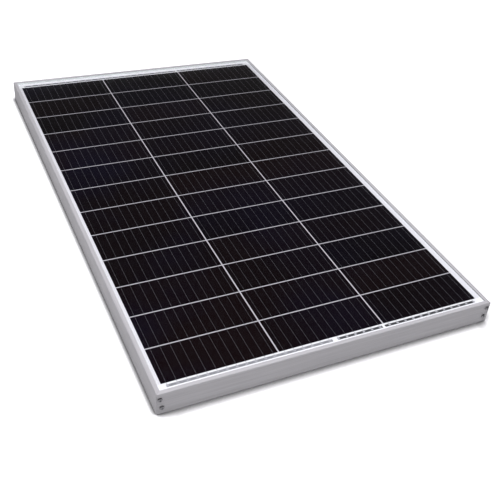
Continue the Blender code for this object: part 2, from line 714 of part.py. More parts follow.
def build_label(material):
    """Blank sticker on the backsheet beside the junction box."""
    thickness = 0.15 * MM
    top = BACKSHEET[0] - 0.1 * MM
    half = (45 * MM, 30 * MM)
    centre = (0, BOX_Y + 120 * MM)
    shape = grid_slab([centre[0] - half[0], centre[0] + half[0]], [centre[1] - half[1], centre[1] + half[1]],
                      lambda i, j: True, top - thickness, top)
    add_object("rear_label", finish_mesh("rear_label", shape), material)


def main():
    clear_scene()
    materials = {
        "metal": make_material("anodised_aluminium", (0.55, 0.54, 0.58), 0.38, metallic=1.0),
        "steel": make_material("stainless_steel", (0.50, 0.50, 0.52), 0.30, metallic=1.0),
        "glass": make_material("solar_glass", (0.90, 0.93, 0.95), 0.08, alpha=0.25),
        "encapsulant": make_material("encapsulant", (0.90, 0.90, 0.92), 0.30, alpha=0.25),
        "backsheet": make_material("white_backsheet", (0.80, 0.80, 0.85), 0.55),
        "cell": make_material("silicon_cell", (0.010, 0.008, 0.012), 0.25),
        "ribbon": make_material("tinned_ribbon", (0.45, 0.46, 0.50), 0.35, metallic=1.0),
        "black": make_material("black_plastic", (0.012, 0.012, 0.013), 0.45),
        "rubber": make_material("sealant", (0.05, 0.05, 0.05), 0.80),
        "brass": make_material("tinned_brass", (0.60, 0.50, 0.32), 0.35, metallic=1.0),
        "diode": make_material("diode_body", (0.02, 0.02, 0.02), 0.40),
        "label": make_material("blank_label", (0.70, 0.70, 0.70), 0.50),
    }
    build_frame(materials["metal"], materials["steel"], materials["rubber"])
    build_sheets(materials)
    build_cells(materials)
    build_rear_ribbons(materials)
    build_junction_box(materials)
    build_label(materials["label"])


main()
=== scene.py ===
"""Looks of the framed solar panel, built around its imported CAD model.

X runs across the panel, Y along it (the end with the three bus ribbons is at -Y) and Z up.
"""
import math

import bmesh
import bpy
from mathutils import Matrix, Vector


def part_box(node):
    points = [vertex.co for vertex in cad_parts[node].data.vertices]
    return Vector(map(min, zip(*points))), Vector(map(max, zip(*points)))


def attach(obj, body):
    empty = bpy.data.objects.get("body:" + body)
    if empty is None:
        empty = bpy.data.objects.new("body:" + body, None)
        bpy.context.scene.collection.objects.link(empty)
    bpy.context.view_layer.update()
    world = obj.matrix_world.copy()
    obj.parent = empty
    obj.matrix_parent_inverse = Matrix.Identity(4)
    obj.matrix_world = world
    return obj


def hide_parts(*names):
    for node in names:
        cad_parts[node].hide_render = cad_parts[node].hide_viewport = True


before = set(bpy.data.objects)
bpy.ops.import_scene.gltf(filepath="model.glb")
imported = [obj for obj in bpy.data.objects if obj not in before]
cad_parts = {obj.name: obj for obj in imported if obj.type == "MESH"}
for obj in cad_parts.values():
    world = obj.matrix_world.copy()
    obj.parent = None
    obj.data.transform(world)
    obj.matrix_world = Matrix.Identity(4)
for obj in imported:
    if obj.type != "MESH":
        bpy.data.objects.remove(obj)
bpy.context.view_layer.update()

MM = 0.001
PANEL = "panel"

# Frame extrusion, as in the CAD model
WALL = 1.5 * MM
LIP_WIDTH = 6.2 * MM
LIP_THICKNESS = 1.3 * MM
SHELF_TOP = 28.0 * MM
SHELF_THICKNESS = 1.2 * MM
CHAMBER_DEPTH = 9.6 * MM
CHAMBER_FLOOR = 7.4 * MM
CHAMBER_WALL = 1.2 * MM
FLANGE_WIDTH = 22 * MM
MITRE_GAP = 0.12 * MM
SCREW_PORTS = ((4.6 * MM, 25.2 * MM), (7.0 * MM, 10.6 * MM))
PORT_RADIUS = 1.75 * MM
PORT_WALL = 0.9 * MM
SLOT_WIDTH = 9 * MM
SLOT_LENGTH = 14 * MM
SLOT_INSET = 15 * MM
SLOT_OFFSET = 235 * MM
GROUND_HOLE_RADIUS = 2.5 * MM
TOP_ROUND = 1.5 * MM
LIP_ROUND = 0.35 * MM
LIP_INNER_ROUND = 0.9 * MM
BASE_ROUND = 0.5 * MM

# Cells
COLUMN_NAMES = ("left", "centre", "right")
COLUMNS = len(COLUMN_NAMES)
ROWS = 13
CELL_GAP = 2 * MM
BUSBARS = 12
BUSBAR_WIDTH = 0.36 * MM
BUSBAR_HEIGHT = 0.04 * MM
PADS = 6
PAD_WIDTH = 1.0 * MM
PAD_LENGTH = 0.7 * MM
PAD_HEIGHT = 0.02 * MM

# Bus ribbons: how bright each is, a painted reflection, as the same tinned strips mirror darker or brighter
# surroundings; and a solder joint's half length, share of the ribbon's width and height
RIBBON_REFLECTION_TONES = {"near_ribbon_left": 0.33, "near_ribbon_middle": 0.10, "near_ribbon_right": 0.08}
FAR_RIBBON_REFLECTION_TONE = 0.12
SOLDER_REACH = 1.9 * MM
SOLDER_SHARE = 0.92
SOLDER_HEIGHT = 0.07 * MM

# Fingers printed across each cell
FINGER_PITCH = 1.3 * MM
FINGER_SHARE = 0.035
FINGER_MARGIN = 1.2 * MM
# Painted shade on the white film: how bright it is beside the cells, where the film past their ends is 1
# and between them 0
SIDE_OPENNESS = 0.6
FILM_BLUR = 1 * MM

# Glass: size of its seamed edge, and how upright a face's normal is where the face counts as flat
GLASS_SEAM = 0.6 * MM
FLAT_NORMAL = 0.9

# Rating label, left blank
LABEL_MARGIN = 5 * MM
LABEL_ROW = 8 * MM
LABEL_LINE = 0.35 * MM

# Corner screws
SCREW_LENGTH = 16 * MM
SCREW_RADIUS = 1.45 * MM
SCREW_TIP = 2 * MM
SCREW_LIFT = 0.1 * MM
HEAD_RADIUS = 3.3 * MM
HEAD_HEIGHT = 2.0 * MM
HEAD_RIM = 0.45 * MM
RECESS_DEPTH = 1.3 * MM
RECESS_REACH = 0.66 * HEAD_RADIUS
RECESS_HALF = 0.55 * MM
RECESS_TAPER = (0.45, 1.05)

# Mesh fineness
PORT_STEPS = 20
SMOOTH_ANGLE = math.radians(30)
BEVEL_ANGLE = math.radians(40)
WELD_REACH = 0.001 * MM

# The part of a noise texture's range that a mottle is stretched over
NOISE_LOW = 0.3
NOISE_HIGH = 0.7

string_low, string_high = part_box("cell_string_centre")
CELL_WIDTH = string_high.x - string_low.x
CELL_LENGTH = (string_high.y - string_low.y - (ROWS - 1) * CELL_GAP) / ROWS
COLUMN_PITCH = CELL_WIDTH + CELL_GAP
ROW_PITCH = CELL_LENGTH + CELL_GAP

frame_low, frame_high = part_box("frame_left")
HALF_WIDTH = -frame_low.x
HALF_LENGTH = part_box("frame_far")[1].y
FRAME_HEIGHT = frame_high.z


# ---------------------------------------------------------------- node helpers

class Nodes:
    """Short names for building a material's node tree."""

    def __init__(self, name):
        self.material = bpy.data.materials.new(name)
        self.material.use_nodes = True
        self.tree = self.material.node_tree
        self.tree.nodes.clear()
        self.output = self.tree.nodes.new("ShaderNodeOutputMaterial")

    def add(self, kind, settings=None, **values):
        node = self.tree.nodes.new("ShaderNode" + kind)
        for key, value in (settings or {}).items():
            setattr(node, key, value)
        for key, value in values.items():
            self.feed(node.inputs[key.replace("_", " ")], value)
        return node

    def feed(self, target, value):
        """Link a socket to another's output, or set its value; a colour is given as three numbers."""
        if isinstance(value, bpy.types.NodeSocket):
            self.tree.links.new(value, target)
        elif isinstance(value, tuple) and target.type == "RGBA":
            target.default_value = (*value, 1.0)
        else:
            target.default_value = value

    def object_place(self):
        return self.add("TexCoord").outputs["Object"]

    def across_and_along(self):
        """The X and Y of the point being shaded."""
        spot = self.add("SeparateXYZ", Vector=self.object_place())
        return spot.outputs["X"], spot.outputs["Y"]

    def noise(self, scale, detail=2.0, roughness=0.5, stretch=(1, 1, 1)):
        vector = self.add("Mapping", Scale=stretch, Vector=self.object_place()).outputs["Vector"]
        node = self.add("TexNoise", Scale=scale, Detail=detail, Roughness=roughness, Vector=vector)
        return node.outputs["Fac"]

    def remap(self, value, low, high, to_low, to_high):
        ends = {"From_Min": low, "From_Max": high, "To_Min": to_low, "To_Max": to_high}
        return self.add("MapRange", Value=value, **ends).outputs["Result"]

    def mottle(self, noise, first, second):
        """Go from one number or colour to another with a noise."""
        if isinstance(first, tuple):
            return self.mix(self.remap(noise, NOISE_LOW, NOISE_HIGH, 0, 1), first, second)
        return self.remap(noise, NOISE_LOW, NOISE_HIGH, first, second)

    def math(self, operation, *values):
        node = self.add("Math", {"operation": operation})
        for target, value in zip(node.inputs, values):
            self.feed(target, value)
        return node.outputs["Value"]

    def mix(self, share, first, second):
        node = self.add("Mix", {"data_type": "RGBA"})
        colours = [socket for socket in node.inputs if socket.type == "RGBA"]
        for target, value in zip([node.inputs[0], *colours], (share, first, second)):
            self.feed(target, value)
        return next(socket for socket in node.outputs if socket.type == "RGBA")

    def cell_count(self):
        """Place along the grid of cells, across and along, in cells."""
        x, y = self.across_and_along()
        return (self.math("ADD", self.math("DIVIDE", x, COLUMN_PITCH), 0.5),
                self.math("ADD", self.math("DIVIDE", y, ROW_PITCH), 0.5))

    def cell_inset(self):
        """Distance in from the nearest edge of the cell, negative between cells."""
        across, along = self.cell_count()
        return self.math("MINIMUM", self.edge_distance(across, COLUMN_PITCH, CELL_WIDTH),
                         self.edge_distance(along, ROW_PITCH, CELL_LENGTH))

    def edge_distance(self, count, pitch, size):
        """Distance in from a cell's nearer edge, where count is the place along the grid in cells."""
        offset = self.math("ABSOLUTE", self.math("SUBTRACT", self.math("FRACT", count), 0.5))
        return self.math("SUBTRACT", size / 2, self.math("MULTIPLY", offset, pitch))

    def bump(self, height, strength, distance):
        node = self.add("Bump", Height=height, Strength=strength, Distance=distance)
        return node.outputs["Normal"]

    def blend(self, share, first, second):
        node = self.add("MixShader")
        for socket, source in zip(node.inputs, (share, first.outputs[0], second.outputs[0])):
            self.tree.links.new(source, socket)
        return node

    def finish(self, shader):
        self.tree.links.new(shader.outputs[0], self.output.inputs["Surface"])
        return self.material

    def principled(self, **values):
        return self.finish(self.add("BsdfPrincipled", **values))


# ---------------------------------------------------------------- materials

def anodised(name, along):
    """Satin anodised extrusion with fine drawn lines along its length ("x" or "y")."""
    n = Nodes(name)
    lines_along, lines_across = 12, 900
    stretch = (lines_along if along == "x" else lines_across,
               lines_along if along == "y" else lines_across, lines_across)
    lines = n.noise(1.0, detail=3.0, roughness=0.6, stretch=stretch)
    cloud = n.noise(14.0)
    colour = n.mottle(lines, (0.350, 0.344, 0.356), (0.425, 0.418, 0.430))
    rough = n.mottle(cloud, 0.42, 0.52)
    return n.principled(Base_Color=colour, Metallic=0.15, Roughness=rough,
                        Normal=n.bump(lines, 0.25, 0.00003))


def cell_material():
    """Coated silicon: near black, browner or bluer from place to place, with thin fingers."""
    n = Nodes("silicon")
    x, y = n.across_and_along()
    across, along = n.cell_count()
    corner = n.add("CombineXYZ", X=n.math("FLOOR", across), Y=n.math("FLOOR", along)).outputs["Vector"]
    tone = n.add("TexWhiteNoise", {"noise_dimensions": "2D"}, Vector=corner).outputs["Value"]
    brown = n.mix(tone, (0.0012, 0.0006, 0.0010), (0.0034, 0.0012, 0.0015))
    patches = n.remap(n.noise(5.0, detail=5.0), 0.42, 0.68, 0, 1.0)
    blueness = n.math("MULTIPLY", patches, n.remap(x, -HALF_WIDTH, HALF_WIDTH, 1.0, 0.25))
    base = n.mix(blueness, brown, (0.0022, 0.0016, 0.0064))
    finger = n.math("LESS_THAN", n.math("FRACT", n.math("DIVIDE", y, FINGER_PITCH)), FINGER_SHARE)
    printed = n.math("MULTIPLY", finger, n.math("GREATER_THAN", n.cell_inset(), FINGER_MARGIN))
    colour = n.mix(printed, base, (0.05, 0.05, 0.055))
    return n.principled(Base_Color=colour, Roughness=0.4, Specular_IOR_Level=0.02)


def tinned(name, tint, metallic=0.4, rough=0.4):
    """Tinned copper strip, slightly uneven."""
    n = Nodes(name)
    wave = n.noise(350.0, detail=3.0)
    colour = n.mottle(wave, tuple(0.75 * c for c in tint), tint)
    return n.principled(Base_Color=colour, Metallic=metallic, Roughness=rough,
                        Normal=n.bump(wave, 0.5, 0.0003))


def film_cloud(n):
    """The faint mottle of a laminate film."""
    return n.noise(60.0, detail=4.0)


def sheet_material(name, colour, rough):
    """Pale matt surface with a faint mottle."""
    n = Nodes(name)
    cloud = film_cloud(n)
    tone = n.mottle(cloud, tuple(0.97 * c for c in colour), colour)
    return n.principled(Base_Color=tone, Roughness=rough, Normal=n.bump(cloud, 0.2, 0.0001))


def backsheet_material():
    """White film drawn tight over the cells, whose outlines show through it faintly."""
    n = Nodes("white_backsheet")
    x, y = n.across_and_along()
    within = n.math("MULTIPLY", n.math("LESS_THAN", n.math("ABSOLUTE", x), COLUMNS / 2 * COLUMN_PITCH),
                    n.math("LESS_THAN", n.math("ABSOLUTE", y), ROWS / 2 * ROW_PITCH))
    raised = n.math("MULTIPLY", n.remap(n.cell_inset(), -FILM_BLUR, FILM_BLUR / 2, 0, 1), within)
    cloud = film_cloud(n)
    film = n.mottle(cloud, (0.80, 0.80, 0.82), (0.83, 0.83, 0.85))
    tone = n.mix(raised, film, (0.765, 0.765, 0.79))
    height = n.math("ADD", n.math("MULTIPLY", cloud, 0.15), raised)
    return n.principled(Base_Color=tone, Roughness=0.45, Normal=n.bump(height, 0.4, 0.0002))


def label_material():
    """Blank rating label: an empty ruled table on satin film."""
    n = Nodes("blank_label")
    low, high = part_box("rear_label")
    x, y = n.across_and_along()
    insets = []
    for value, start, end in ((x, low.x, high.x), (y, low.y, high.y)):
        off_middle = n.math("ABSOLUTE", n.math("SUBTRACT", value, (start + end) / 2))
        insets.append(n.math("SUBTRACT", (end - start) / 2 - LABEL_MARGIN, off_middle))
    inset = n.math("MINIMUM", *insets)
    border = n.math("LESS_THAN", n.math("ABSOLUTE", inset), LABEL_LINE)
    row = n.math("FRACT", n.math("DIVIDE", n.math("SUBTRACT", y, low.y + LABEL_MARGIN), LABEL_ROW))
    rule = n.math("MULTIPLY", n.math("LESS_THAN", row, LABEL_LINE / LABEL_ROW),
                  n.math("GREATER_THAN", inset, 0.0))
    film = n.mottle(film_cloud(n), (0.62, 0.62, 0.63), (0.66, 0.66, 0.67))
    tone = n.mix(n.math("MAXIMUM", border, rule), film, (0.16, 0.16, 0.17))
    return n.principled(Base_Color=tone, Roughness=0.4)


def white_encapsulant():
    """White film with painted shade: between the cells it is greyer, because the dark cells take up the
    scattered light, and beside the cells it is a little greyer than past their ends.
    """
    n = Nodes("white_encapsulant")
    x, y = n.across_and_along()
    cells_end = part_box("cell_string_right")[1]
    past_side = n.math("SUBTRACT", n.math("ABSOLUTE", x), cells_end.x)
    past_end = n.math("SUBTRACT", n.math("ABSOLUTE", y), cells_end.y)
    # Painted shade: the film is darkened between the cells, and less so beside them
    openness = n.math("MAXIMUM", n.remap(past_side, -FILM_BLUR, FILM_BLUR, 0, SIDE_OPENNESS),
                      n.remap(past_end, -FILM_BLUR, FILM_BLUR, 0, 1))
    cloud = film_cloud(n)
    margin = n.mottle(cloud, (0.59, 0.59, 0.61), (0.63, 0.63, 0.65))
    # The grey painted between the cells, mixed with the plain margin colour
    colour = n.mix(openness, (0.38, 0.37, 0.40), margin)
    return n.principled(Base_Color=colour, Roughness=0.6, Normal=n.bump(cloud, 0.2, 0.0001))


def plastic(name, colour, rough, grain=900.0):
    """Moulded plastic or rubber with a spark-eroded grain."""
    n = Nodes(name)
    pores = n.noise(grain, detail=3.0)
    tone = n.mottle(pores, tuple(0.8 * c for c in colour), colour)
    roughness = n.mottle(pores, rough - 0.05, rough + 0.05)
    return n.principled(Base_Color=tone, Roughness=roughness, Normal=n.bump(pores, 0.3, 0.0002))


def metal(name, colour, rough):
    """Turned or rolled bright metal."""
    n = Nodes(name)
    wear = n.noise(700.0, detail=4.0)
    tone = n.mottle(wear, tuple(0.85 * c for c in colour), colour)
    roughness = n.mottle(wear, rough - 0.06, rough + 0.06)
    return n.principled(Base_Color=tone, Metallic=1.0, Roughness=roughness,
                        Normal=n.bump(wear, 0.2, 0.0001))


def glass_material():
    """Low-iron glass with an anti-reflection coat and a fine rolled texture."""
    n = Nodes("solar_glass")
    texture = n.bump(n.noise(500.0), 0.15, 0.0002)
    mirror = n.add("BsdfAnisotropic", Color=(1, 1, 1), Roughness=0.12, Normal=texture)
    clear = n.add("BsdfTransparent", Color=(0.975, 0.985, 0.98))
    return n.finish(n.blend(n.add("Fresnel", IOR=1.26).outputs[0], clear, mirror))


def bonded_material():
    """Underside of the glass, wetted by the encapsulant, so that it mirrors nothing."""
    n = Nodes("bonded_face")
    return n.finish(n.add("BsdfTransparent"))


# ---------------------------------------------------------------- mesh helpers

def circle(centre, radius, steps=32):
    turns = [2 * math.pi * step / steps for step in range(steps)]
    return [(centre[0] + radius * math.cos(turn), centre[1] + radius * math.sin(turn)) for turn in turns]


def rounded(corners, steps=4):
    """Outline from (x, y, radius) corners, each rounded by an arc where its radius isn't 0."""
    points = []
    count = len(corners)
    for index, (x, y, radius) in enumerate(corners):
        here = Vector((x, y))
        if radius == 0:
            points.append((x, y))
            continue
        before = (Vector(corners[index - 1][:2]) - here).normalized()
        after = (Vector(corners[(index + 1) % count][:2]) - here).normalized()
        half_angle = before.angle(after) / 2
        reach = radius / math.tan(half_angle)
        middle = here + (before + after).normalized() * (radius / math.sin(half_angle))
        start = here + before * reach - middle
        end = here + after * reach - middle
        for step in range(steps + 1):
            share = step / steps
            turn = start.angle_signed(end) * share
            spoke = Matrix.Rotation(-turn, 2) @ start
            points.append(tuple(middle + spoke))
    return points


def prism(loops, place_start, place_end):
    """Solid between two copies of a flat outline with holes; each end has its own placing function."""
    shape = bmesh.new()
    caps = ([], [])
    for loop in loops:
        rings = [[shape.verts.new(place(point)) for point in loop] for place in (place_start, place_end)]
        count = len(loop)
        for index in range(count):
            following = (index + 1) % count
            shape.faces.new((rings[0][index], rings[0][following], rings[1][following], rings[1][index]))
            for ring, edges in zip(rings, caps):
                edges.append(shape.edges.get((ring[index], ring[following])))
    for edges in caps:
        bmesh.ops.triangle_fill(shape, use_beauty=True, use_dissolve=False, edges=edges)
    return shape


def upright_prism(loops, bottom, top):
    return prism(loops, lambda p: (p[0], p[1], bottom), lambda p: (p[0], p[1], top))


def turned(profile, steps=36):
    """Revolve (radius, height) points about Z, from the axis and back to it."""
    shape = bmesh.new()
    turns = [2 * math.pi * step / steps for step in range(steps)]
    levels = []
    for radius, height in profile:
        if radius == 0:
            levels.append([shape.verts.new((0, 0, height))] * steps)
        else:
            places = [(radius * math.cos(turn), radius * math.sin(turn), height) for turn in turns]
            levels.append([shape.verts.new(place) for place in places])
    for low, high in zip(levels, levels[1:]):
        for step in range(steps):
            following = (step + 1) % steps
            corners = [low[step], low[following], high[following], high[step]]
            shape.faces.new(list(dict.fromkeys(corners)))
    return shape


def smooth(mesh):
    mesh.shade_smooth()
    mesh.set_sharp_from_angle(angle=SMOOTH_ANGLE)
    return mesh


def to_mesh(name, shape):
    bmesh.ops.recalc_face_normals(shape, faces=shape.faces[:])
    mesh = bpy.data.meshes.new(name)
    shape.to_mesh(mesh)
    shape.free()
    return smooth(mesh)


def cut(base, cutters):
    """A shape less its cutters, as a mesh."""
    holder = bpy.data.objects.new("holder", to_mesh("holder", base))
    tools = []
    for shape in cutters:
        tool = bpy.data.objects.new("tool", to_mesh("tool", shape))
        tools.append(tool)
        modifier = holder.modifiers.new("cut", "BOOLEAN")
        modifier.operation = "DIFFERENCE"
        modifier.solver = "EXACT"
        modifier.object = tool
    for item in [holder, *tools]:
        bpy.context.scene.collection.objects.link(item)
    bpy.context.view_layer.update()
    depsgraph = bpy.context.evaluated_depsgraph_get()
    mesh = bpy.data.meshes.new_from_object(holder.evaluated_get(depsgraph))
    for item in [holder, *tools]:
        bpy.data.objects.remove(item, do_unlink=True)
    return smooth(mesh)


def piece(name, mesh, material, nodes=(), placing=None):
    """Show a mesh as a piece that rides on the panel and stands for CAD nodes."""
    shown = bpy.data.objects.new(name, mesh)
    bpy.context.scene.collection.objects.link(shown)
    if placing:
        shown.matrix_world = placing
    if not mesh.materials:
        mesh.materials.append(material)
    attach(shown, PANEL)
    if nodes:
        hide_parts(*nodes)


def dress(node, material, edge=0):
    """Give a CAD node that stays in view its finished material, and round its edges."""
    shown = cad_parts[node]
    shown.data.materials.clear()
    shown.data.materials.append(material)
    if edge:
        weld = shown.modifiers.new("weld", "WELD")
        weld.merge_threshold = WELD_REACH
        bevel = shown.modifiers.new("bevel", "BEVEL")
        bevel.width = edge
        bevel.segments = 2
        bevel.limit_method = "ANGLE"
        bevel.angle_limit = BEVEL_ANGLE
        bevel.use_clamp_overlap = True


# ---------------------------------------------------------------- frame

def frame_profile():
    """The extrusion's section as (distance in from the outer face, height), with its edges rounded."""
    lip_underside = FRAME_HEIGHT - LIP_THICKNESS
    outline = rounded([
        (0, 0, BASE_ROUND), (0, FRAME_HEIGHT, TOP_ROUND), (LIP_WIDTH, FRAME_HEIGHT, LIP_INNER_ROUND),
        (LIP_WIDTH, lip_underside, 0), (WALL, lip_underside, 0), (WALL, SHELF_TOP, 0),
        (CHAMBER_DEPTH, SHELF_TOP, LIP_ROUND), (CHAMBER_DEPTH, CHAMBER_FLOOR, LIP_ROUND),
        (WALL, CHAMBER_FLOOR, LIP_ROUND), (WALL, WALL, LIP_ROUND), (FLANGE_WIDTH, WALL, LIP_ROUND),
        (FLANGE_WIDTH, 0, LIP_ROUND)])
    inner_wall = CHAMBER_DEPTH - CHAMBER_WALL
    chamber_top = SHELF_TOP - SHELF_THICKNESS
    chamber_bottom = CHAMBER_FLOOR + CHAMBER_WALL
    (upper_in, upper_height), (lower_in, lower_height) = SCREW_PORTS
    reach = PORT_RADIUS + PORT_WALL
    chamber = [(upper_in + reach, chamber_top), (inner_wall, chamber_top),
               (inner_wall, lower_height + reach), (lower_in - reach, lower_height + reach),
               (lower_in - reach, chamber_bottom), (WALL, chamber_bottom),
               (WALL, upper_height - reach), (upper_in + reach, upper_height - reach)]
    return [outline, chamber, *(circle(port, PORT_RADIUS, PORT_STEPS) for port in SCREW_PORTS)]


def oblong(centre, width, length, steps=10):
    """Slot outline with round ends, long along Y."""
    radius = width / 2
    reach = length / 2 - radius
    points = []
    for end in (1, -1):
        for step in range(steps + 1):
            turn = math.pi * step / steps + (0 if end > 0 else math.pi)
            points.append((centre[0] + radius * math.cos(turn),
                           centre[1] + end * reach + radius * math.sin(turn)))
    return points


def long_member():
    """The right member, with its mounting slots and earth hole."""
    def place(end):
        return lambda p: (HALF_WIDTH - p[0], end * (HALF_LENGTH - p[0] - MITRE_GAP), p[1])

    slot_x = HALF_WIDTH - SLOT_INSET
    holes = [oblong((slot_x, side * SLOT_OFFSET), SLOT_WIDTH, SLOT_LENGTH) for side in (-1, 1)]
    holes.append(circle((slot_x, 0), GROUND_HOLE_RADIUS))
    cutters = [upright_prism([hole], -WALL, 2 * WALL) for hole in holes]
    return cut(prism(frame_profile(), place(-1), place(1)), cutters)


def end_member():
    """The far member, drilled for its four screws."""
    def place(end):
        return lambda p: (end * (HALF_WIDTH - p[0] - MITRE_GAP), HALF_LENGTH - p[0], p[1])

    drill_start = HALF_LENGTH - CHAMBER_DEPTH - WALL
    drill_end = HALF_LENGTH + WALL
    cutters = []
    for inset, height in SCREW_PORTS:
        for side in (-1, 1):
            hole = circle((side * (HALF_WIDTH - inset), height), PORT_RADIUS, PORT_STEPS)
            cutters.append(prism([hole], lambda p: (p[0], drill_start, p[1]),
                                 lambda p: (p[0], drill_end, p[1])))
    return cut(prism(frame_profile(), place(-1), place(1)), cutters)


def build_frame():
    pairs = ((("right", "left"), long_member(), anodised("anodised_long", "y")),
             (("far", "near"), end_member(), anodised("anodised_end", "x")))
    for names, mesh, material in pairs:
        for name, turn in zip(names, (0, math.pi)):
            piece(f"{name}_member", mesh, material, [f"frame_{name}"],
                  Matrix.Rotation(turn, 4, "Z"))


def screw_mesh():
    """Pan head with a tapered cross recess, head up, its seat at the origin."""
    dome_steps = 7
    dome_fullness = 0.8
    profile = [(0, HEAD_HEIGHT)]
    for step in range(1, dome_steps + 1):
        turn = math.pi / 2 * step / dome_steps
        profile.append((HEAD_RADIUS * math.sin(turn) ** dome_fullness,
                        HEAD_RIM + (HEAD_HEIGHT - HEAD_RIM) * math.cos(turn)))
    profile += [(HEAD_RADIUS, 0), (SCREW_RADIUS, 0), (SCREW_RADIUS, SCREW_TIP - SCREW_LENGTH),
                (0, -SCREW_LENGTH)]
    arm = ((RECESS_HALF, -RECESS_HALF), (RECESS_REACH, -RECESS_HALF), (RECESS_REACH, RECESS_HALF))
    cross = []
    for quarter in range(4):
        turn = Matrix.Rotation(math.pi / 2 * quarter, 2)
        cross += [tuple(turn @ Vector(point)) for point in arm]
    bottom_size, top_size = RECESS_TAPER
    cutter = prism([cross], lambda p: (p[0] * bottom_size, p[1] * bottom_size, HEAD_HEIGHT - RECESS_DEPTH),
                   lambda p: (p[0] * top_size, p[1] * top_size, HEAD_HEIGHT + MM))
    return cut(turned(profile), [cutter])


def build_corner_screws():
    """Two screws through each end of both short members, no two with their crosses at the same turn."""
    steel = metal("plated_steel", (0.30, 0.30, 0.31), 0.30)
    mesh = screw_mesh()
    for end_name, end in (("near", -1), ("far", 1)):
        for side_name, side in (("left", -1), ("right", 1)):
            for level_name, (inset, height) in zip(("upper", "lower"), SCREW_PORTS):
                node = f"screw_{end_name}_{side_name}_{level_name}"
                seat = (side * (HALF_WIDTH - inset), end * (HALF_LENGTH + SCREW_LIFT), height)
                twist = 0.7 * side + 0.4 * end + 1.1 * (level_name == "upper")
                placing = (Matrix.Translation(seat) @ Matrix.Rotation(-end * math.pi / 2, 4, "X")
                           @ Matrix.Rotation(twist, 4, "Z"))
                piece(f"corner_{node}", mesh, steel, [node], placing)


# ---------------------------------------------------------------- laminate

def build_glass():
    """Glass and front encapsulant as one clear slab with a seamed edge, ground dull all round."""
    low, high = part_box("cover_glass")
    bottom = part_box("front_encapsulant")[0].z
    shape = bmesh.new()
    slab(shape, (low.x, low.y, bottom), high)
    top_edges = [e for e in shape.edges if all(v.co.z > high.z - GLASS_SEAM for v in e.verts)]
    bmesh.ops.bevel(shape, geom=top_edges, offset=GLASS_SEAM, segments=3, affect="EDGES", profile=0.5)
    mesh = to_mesh("laminated_glass", shape)
    top, underside, edge = range(3)
    ground = sheet_material("ground_edge", (0.80, 0.86, 0.83), 0.7)
    for material in (glass_material(), bonded_material(), ground):
        mesh.materials.append(material)
    for face in mesh.polygons:
        up = face.normal.z
        face.material_index = top if up >= FLAT_NORMAL else underside if up < -FLAT_NORMAL else edge
    piece("laminated_glass", mesh, None, ["cover_glass", "front_encapsulant"])


def slab(shape, low, high):
    """Add a closed box to a bmesh."""
    corners = [[[shape.verts.new((x, y, z)) for x in (low[0], high[0])] for y in (low[1], high[1])]
               for z in (low[2], high[2])]
    (a, b), (c, d) = corners[0]
    (e, f), (g, h) = corners[1]
    for loop in ((a, c, d, b), (e, f, h, g), (a, b, f, e), (c, g, h, d), (a, e, g, c), (b, d, h, f)):
        shape.faces.new(loop)


def busbar_places(column_start):
    return [column_start + (index + 0.5) * CELL_WIDTH / BUSBARS for index in range(BUSBARS)]


def build_cells():
    """Three strings of separate cells, each cell with its busbar wires soldered on by small pads."""
    silicon = cell_material()
    wire = tinned("busbar_wire", (0.120, 0.116, 0.132))
    first_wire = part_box("near_ribbon_left")[0].y
    last_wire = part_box("far_ribbon_left")[1].y
    pad_pitch = CELL_LENGTH / PADS
    for column_name in COLUMN_NAMES:
        node = f"cell_string_{column_name}"
        low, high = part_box(node)
        cells = bmesh.new()
        wires = bmesh.new()
        starts = [low.y + row * ROW_PITCH for row in range(ROWS)]
        for start in starts:
            slab(cells, (low.x, start, low.z), (high.x, start + CELL_LENGTH, high.z))
        for x in busbar_places(low.x):
            slab(wires, (x - BUSBAR_WIDTH / 2, first_wire, high.z + PAD_HEIGHT),
                 (x + BUSBAR_WIDTH / 2, last_wire, high.z + PAD_HEIGHT + BUSBAR_HEIGHT))
            for y in [start + (index + 0.5) * pad_pitch for start in starts for index in range(PADS)]:
                slab(wires, (x - PAD_WIDTH / 2, y - PAD_LENGTH / 2, high.z),
                     (x + PAD_WIDTH / 2, y + PAD_LENGTH / 2, high.z + PAD_HEIGHT))
        piece(f"cells_{column_name}", to_mesh("cells", cells), silicon, [node])
        piece(f"busbar_wires_{column_name}", to_mesh("wires", wires), wire)


def build_end_ribbons():
    """Bus ribbons across the string ends, with a solder joint where each busbar wire lands."""
    solder = tinned("solder", (0.42, 0.42, 0.45), metallic=0.25, rough=0.5)
    starts = [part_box(f"cell_string_{name}")[0].x for name in COLUMN_NAMES]
    joints = [x for start in starts for x in busbar_places(start)]
    for node in [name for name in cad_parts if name.startswith(("near_ribbon", "far_ribbon"))]:
        low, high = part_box(node)
        strip = bmesh.new()
        slab(strip, low, high)
        # Painted reflection: each ribbon's brightness stands for the surroundings it mirrors
        tone = RIBBON_REFLECTION_TONES.get(node, FAR_RIBBON_REFLECTION_TONE)
        metal_strip = tinned(node, (tone, tone, 1.08 * tone))
        piece(f"{node}_strip", to_mesh("strip", strip), metal_strip, [node])
        drops = bmesh.new()
        middle = (low.y + high.y) / 2
        size = (SOLDER_REACH, SOLDER_SHARE * (high.y - low.y) / 2, SOLDER_HEIGHT)
        for x in [x for x in joints if low.x < x < high.x]:
            place = Matrix.LocRotScale((x, middle, high.z), None, size)
            bmesh.ops.create_uvsphere(drops, u_segments=16, v_segments=8, radius=1.0, matrix=place)
        piece(f"{node}_solder", to_mesh("drops", drops), solder)


def build_laminate():
    build_glass()
    build_cells()
    build_end_ribbons()
    dress("rear_encapsulant", white_encapsulant())
    dress("backsheet", backsheet_material())
    ribbon = tinned("tinned_ribbon", (0.31, 0.31, 0.34))
    for node in ("lead_ribbon_left", "lead_ribbon_middle", "return_ribbon"):
        dress(node, ribbon)


# ---------------------------------------------------------------- junction box

